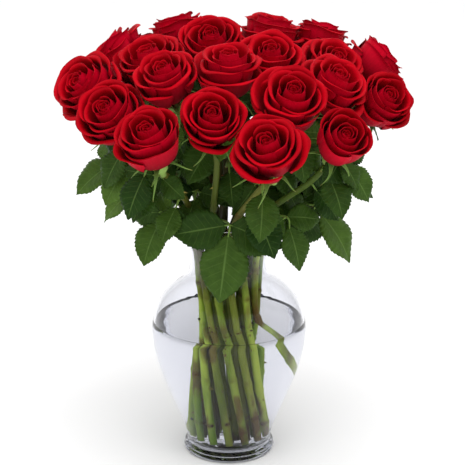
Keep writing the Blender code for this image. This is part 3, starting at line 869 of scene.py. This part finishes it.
def make_water(inner, material):
    """The water, which reaches just into the glass and climbs it a little at its surface."""
    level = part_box("water")[1].z
    inside = [(r + WATER_INTO_WALL, z) for r, z in inner if z < level - 0.002]
    edge = np.interp(level, [z for _, z in inner], [r for r, _ in inner]) + WATER_INTO_WALL
    top = [(edge, level + MENISCUS_HEIGHT)]
    for inwards in (0.0004, 0.0009, 0.0016, 0.0027, 0.0045, 0.008):
        top.append((edge - inwards, level + MENISCUS_HEIGHT * math.exp(-inwards / MENISCUS_REACH)))
    top += [(0.045, level), (0.02, level), (0.0, level)]
    corner = inside[0][0]
    base = [(0.0, 0.0087), (0.022, 0.0085), (corner - 0.0050, 0.0090), (corner - 0.0011, 0.0105)]
    made = turned("water_body", base + inside + top, material)
    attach(made, "root")
    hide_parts("water")


# Materials


class Finish:
    """A node material with one Principled shader, and short ways to add nodes before it."""

    def __init__(self, name, **settings):
        self.material = bpy.data.materials.new(name)
        self.material.use_nodes = True
        self.tree = self.material.node_tree
        self.shader = next(n for n in self.tree.nodes if n.type == "BSDF_PRINCIPLED")
        for socket, value in settings.items():
            self.shader.inputs[socket.replace("_", " ")].default_value = value

    def node(self, kind, settings=None, **inputs):
        made = self.tree.nodes.new(kind)
        for name, value in (settings or {}).items():
            setattr(made, name, value)
        for name, value in inputs.items():
            socket = made.inputs[int(name[1:])] if name[0] == "_" else made.inputs[name]
            self.put(socket, value)
        return made

    def put(self, socket, value):
        if isinstance(value, bpy.types.NodeSocket):
            self.tree.links.new(value, socket)
        else:
            socket.default_value = value

    def mark(self, name):
        return self.node("ShaderNodeAttribute", {"attribute_name": name}).outputs["Fac"]

    def math(self, operation, a, b=0.0, c=0.0):
        return self.node("ShaderNodeMath", {"operation": operation}, _0=a, _1=b, _2=c).outputs[0]

    def mix(self, share, a, b, blend="MIX"):
        made = self.node("ShaderNodeMix", {"data_type": "RGBA", "blend_type": blend})
        self.put(made.inputs[0], share)
        self.put(made.inputs[6], a)
        self.put(made.inputs[7], b)
        return made.outputs[2]

    def mix_value(self, share, a, b):
        return self.node("ShaderNodeMix", {"data_type": "FLOAT"}, _0=share, _2=a, _3=b).outputs[0]

    def between(self, value, low, high, start=0.0, end=1.0):
        smooth = {"interpolation_type": "SMOOTHSTEP"}
        made = self.node("ShaderNodeMapRange", smooth, _0=value, _1=low, _2=high, _3=start, _4=end)
        return made.outputs[0]

    def noise(self, scale, detail=3.0, place=None, stretch=None):
        vector = place or self.node("ShaderNodeTexCoord").outputs["Object"]
        if stretch:
            vector = self.node("ShaderNodeMapping", Vector=vector, Scale=stretch).outputs[0]
        made = self.node("ShaderNodeTexNoise", Vector=vector, Scale=scale, Detail=detail)
        return made.outputs["Fac"]

    def vector(self, x, y, z=0.0):
        return self.node("ShaderNodeCombineXYZ", X=x, Y=y, Z=z).outputs[0]

    def bump(self, height, strength, distance):
        made = self.node("ShaderNodeBump", Height=height, Strength=strength, Distance=distance)
        self.put(self.shader.inputs["Normal"], made.outputs[0])

    def absorb(self, colour, density):
        """The tint that light picks up on its way through the body."""
        haze = self.node("ShaderNodeVolumeAbsorption", Color=colour, Density=density)
        out = next(n for n in self.tree.nodes if n.type == "OUTPUT_MATERIAL")
        self.tree.links.new(haze.outputs[0], out.inputs["Volume"])

    def colour(self, value):
        self.put(self.shader.inputs["Base Color"], value)


def petal_finish():
    f = Finish("petal_velvet", Roughness=0.6, Specular_IOR_Level=0.07, Sheen_Weight=0.06,
               Sheen_Roughness=0.4, Sheen_Tint=(1.0, 0.10, 0.16, 1))
    along, across, behind, tint = f.mark("along"), f.mark("across"), f.mark("behind"), f.mark("tint")
    place = f.vector(f.math("MULTIPLY", across, 14.0), f.math("MULTIPLY", along, 2.2), tint)
    streaks = f.noise(1.0, 4.0, place)
    cloud = f.noise(70.0, 2.0)
    shade = f.math("ADD", f.math("MULTIPLY", streaks, 0.55), f.math("MULTIPLY", cloud, 0.45))
    inside = f.mix(shade, (0.34, 0.0, 0.004, 1), (0.58, 0.0, 0.010, 1))
    outside = f.mix(shade, (0.38, 0.0, 0.009, 1), (0.70, 0.0004, 0.024, 1))
    base = f.mix(behind, inside, outside)
    # Painted shade: the petals' colour darkens towards their bases, deep inside the head
    painted_base_shade = f.between(along, 0.15, 0.80, 0.34, 1.0)
    # Painted shade: the petals' colour darkens at their rims, dimming the light their rolled lips catch
    painted_rim_shade = f.between(along, 0.93, 1.03, 1.0, 0.72)
    tone = f.math("MULTIPLY", f.math("MULTIPLY", painted_base_shade, painted_rim_shade), f.math("MULTIPLY_ADD", tint, 0.22, 0.86))
    grey = f.node("ShaderNodeCombineColor", Red=tone, Green=tone, Blue=tone).outputs[0]
    f.colour(f.mix(1.0, base, grey, "MULTIPLY"))
    f.bump(streaks, 0.35, 0.0006)
    return f.material


def stem_finish():
    f = Finish("stem_bark", Roughness=0.42, Specular_IOR_Level=0.15)
    along, tint, scar, thorn = f.mark("along"), f.mark("tint"), f.mark("scar"), f.mark("thorn")
    place = f.node("ShaderNodeTexCoord").outputs["Object"]
    streaks = f.noise(60.0, 4.0, place, (1.0, 1.0, 0.12))
    patches = f.noise(38.0, 3.0, place, (1.0, 1.0, 0.45))
    green = f.mix(f.between(streaks, 0.3, 0.7), (0.18, 0.38, 0.020, 1), (0.74, 0.94, 0.13, 1))
    # Painted shade: above the neck the stem takes far darker greens than in the water, for the shade under
    # the heads and leaves
    upper = f.mix(streaks, (0.026, 0.058, 0.006, 1), (0.085, 0.15, 0.016, 1))
    base = f.mix(f.between(along, 0.40, 0.66), green, upper)
    olive = f.mix(f.between(tint, 0.35, 1.0, 0.0, 0.6), base, (0.17, 0.15, 0.03, 1))
    brown = f.math("MULTIPLY", f.between(patches, 0.52, 0.62), f.between(along, 0.0, 0.75, 0.9, 0.3))
    barked = f.mix(brown, olive, (0.19, 0.095, 0.030, 1))
    healed = f.math("MULTIPLY", scar, f.between(patches, 0.42, 0.56, 0.0, 0.8))
    scarred = f.mix(healed, barked, (0.14, 0.045, 0.018, 1))
    inner = f.mix(f.math("MULTIPLY", f.mark("inner"), INNER_SHADE), scarred, INNER_COLOUR)
    f.colour(f.mix(f.math("MULTIPLY", thorn, 0.7), inner, (0.22, 0.10, 0.04, 1)))
    f.put(f.shader.inputs["Roughness"], f.between(streaks, 0.3, 0.7, 0.34, 0.56))
    f.bump(streaks, 0.5, 0.0005)
    return f.material


def hip_finish():
    f = Finish("sepal_green", Roughness=0.5, Specular_IOR_Level=0.15)
    streaks = f.noise(160.0, 3.0)
    inside = f.mix(streaks, (0.16, 0.30, 0.05, 1), (0.36, 0.52, 0.14, 1))
    outside = f.mix(streaks, (0.08, 0.17, 0.03, 1), (0.20, 0.32, 0.07, 1))
    base = f.mix(f.mark("behind"), inside, outside)
    f.colour(f.mix(f.between(f.mark("along"), 0.85, 1.0, 0.0, 0.5), base, (0.20, 0.10, 0.03, 1)))
    f.bump(streaks, 0.4, 0.0004)
    return f.material


def leaf_finish():
    f = Finish("leaf_blade", Roughness=0.36, Specular_IOR_Level=0.07)
    along, across, behind = f.mark("along"), f.mark("across"), f.mark("behind")
    tint, light = f.mark("tint"), f.mark("light")
    off = f.math("ABSOLUTE", across)
    sweep = f.math("SUBTRACT", f.math("MULTIPLY", along, float(VEIN_PAIRS)), f.math("MULTIPLY", off, 1.5))
    near = f.math("ABSOLUTE", f.math("SUBTRACT", f.math("FRACT", sweep), 0.5))
    lateral = f.between(near, 0.43, 0.50)
    midrib = f.between(off, 0.065, 0.015)
    vein = f.math("MAXIMUM", f.math("MULTIPLY", lateral, f.between(off, 0.95, 0.6, 0.0, 0.45)), midrib)
    mottle = f.noise(140.0, 4.0)
    fine = f.noise(420.0, 2.0)
    dark = f.mix(mottle, (0.002, 0.011, 0.002, 1), (0.009, 0.038, 0.004, 1))
    pale = f.mix(mottle, (0.060, 0.125, 0.016, 1), (0.14, 0.25, 0.036, 1))
    # How far each blade's green goes towards the pale colour: its light mark plus its tint squared
    pale_share = f.math("ADD", light, f.math("MULTIPLY", f.math("POWER", tint, 2.0), 0.6))
    top = f.mix(f.math("MULTIPLY", pale_share, 0.75), dark, pale)
    veined = f.mix(f.math("MULTIPLY", vein, 0.34), top, (0.17, 0.29, 0.07, 1))
    under = f.mix(mottle, (0.040, 0.085, 0.020, 1), (0.085, 0.16, 0.040, 1))
    ribbed = f.mix(f.math("MULTIPLY", vein, 0.6), under, (0.20, 0.29, 0.09, 1))
    f.colour(f.mix(behind, veined, ribbed))
    f.put(f.shader.inputs["Roughness"], f.mix_value(behind, f.between(fine, 0.3, 0.7, 0.26, 0.42), 0.62))
    relief = f.math("SUBTRACT", f.math("MULTIPLY", fine, 0.35), vein)
    f.bump(relief, 0.45, 0.0006)
    return f.material


def stalk_finish():
    f = Finish("leaf_stalk", Roughness=0.45, Specular_IOR_Level=0.15)
    streaks = f.noise(120.0, 3.0)
    green = f.mix(streaks, (0.10, 0.20, 0.03, 1), (0.22, 0.33, 0.07, 1))
    f.colour(f.mix(f.between(f.mark("along"), 0.25, 0.0, 0.0, 0.8), green, (0.26, 0.06, 0.03, 1)))
    f.bump(streaks, 0.3, 0.0003)
    return f.material


def glass_finish():
    f = Finish("clear_glass", Roughness=0.0, IOR=GLASS_INDEX, Transmission_Weight=1.0,
               Specular_IOR_Level=0.1, Specular_Tint=GLASS_SHINE, Base_Color=GLASS_COLOUR)
    f.absorb(GLASS_ABSORBED, GLASS_DENSITY)
    ripple = f.noise(9.0, 1.0)
    f.bump(ripple, 0.04, 0.004)
    return f.material


def water_finish():
    f = Finish("still_water", Roughness=0.0, IOR=WATER_INDEX, Transmission_Weight=1.0,
               Specular_IOR_Level=0.1, Specular_Tint=WATER_SHINE, Base_Color=WATER_COLOUR)
    f.absorb(WATER_ABSORBED, WATER_DENSITY)
    ripple = f.noise(30.0, 1.0)
    f.bump(ripple, 0.02, 0.002)
    return f.material


def floor_finish():
    f = Finish("paper_sweep", Roughness=0.9, Specular_IOR_Level=0.1)
    grain = f.noise(3.0, 2.0)
    f.colour(f.mix(grain, (0.965, 0.965, 0.97, 1), (0.98, 0.98, 0.98, 1)))
    return f.material


# The studio


def make_floor(material):
    shape = Shape()
    u = np.linspace(-FLOOR_REACH, FLOOR_REACH, FLOOR_LINES)
    x, y = np.meshgrid(u, u)
    grid = np.stack([x, y, np.full_like(x, -FLOOR_DROP)], 2)
    under = grid - (0, 0, FLOOR_THICKNESS)
    points = np.concatenate([grid.reshape(-1, 3), under.reshape(-1, 3)])
    shape.add(points, [sheet_faces(FLOOR_LINES, FLOOR_LINES)])
    floor = shape.build("floor_sweep", [material])


def make_lamp():
    data = bpy.data.lights.new("overhead", "AREA")
    data.shape = "SQUARE"
    data.size = LAMP_SIDE
    data.energy = LAMP_POWER
    lamp = bpy.data.objects.new("overhead", data)
    lamp.location = LAMP_PLACE
    aim = Vector(LAMP_TARGET) - Vector(LAMP_PLACE)
    lamp.rotation_euler = aim.to_track_quat("-Z", "Y").to_euler()
    lamp.visible_glossy = False
    lamp.visible_transmission = False
    bpy.context.scene.collection.objects.link(lamp)


def make_studio():
    world = bpy.data.worlds.new("studio")
    bpy.context.scene.world = world
    world.use_nodes = True
    background = next(n for n in world.node_tree.nodes if n.type == "BACKGROUND")
    background.inputs["Color"].default_value = (1.0, 1.0, 1.0, 1)
    background.inputs["Strength"].default_value = 1.0
    make_lamp()
    bpy.context.scene.cycles.max_bounces = BOUNCES
    bpy.context.scene.cycles.transmission_bounces = BOUNCES
    bpy.context.scene.cycles.glossy_bounces = BOUNCES
    bpy.context.scene.view_settings.view_transform = "Standard"


def make_camera():
    data = bpy.data.cameras.new("camera")
    data.sensor_width = SENSOR
    data.lens = SENSOR * VIEW_DISTANCE / (PIXEL_SIZE * IMAGE_PIXELS)
    data.shift_x = VIEW_SHIFT
    camera = bpy.data.objects.new("camera", data)
    rise = math.radians(VIEW_ELEVATION)
    back = Vector((0, -math.cos(rise), math.sin(rise)))
    camera.location = Vector(VIEW_TARGET) + back * VIEW_DISTANCE
    camera.rotation_euler = (-back).to_track_quat("-Z", "Y").to_euler()
    bpy.context.scene.collection.objects.link(camera)
    bpy.context.scene.camera = camera


make_studio()
make_camera()
make_floor(floor_finish())
inner_wall = make_vase(glass_finish())
make_water(inner_wall, water_finish())
heads = turned_heads({number: head_of(number) for number in range(1, HEAD_COUNT + 1)})
petal = petal_finish()
leaf_materials = [leaf_finish(), stalk_finish()]
stem_materials = [stem_finish(), hip_finish(), *leaf_materials]
lines = {}
for number in heads:
    make_head(number, heads, petal)
    lines[number] = make_stem(number, heads, stem_materials)
for number, leaf in enumerate(LEAVES, 1):
    make_leaf(number, leaf, lines, leaf_materials)
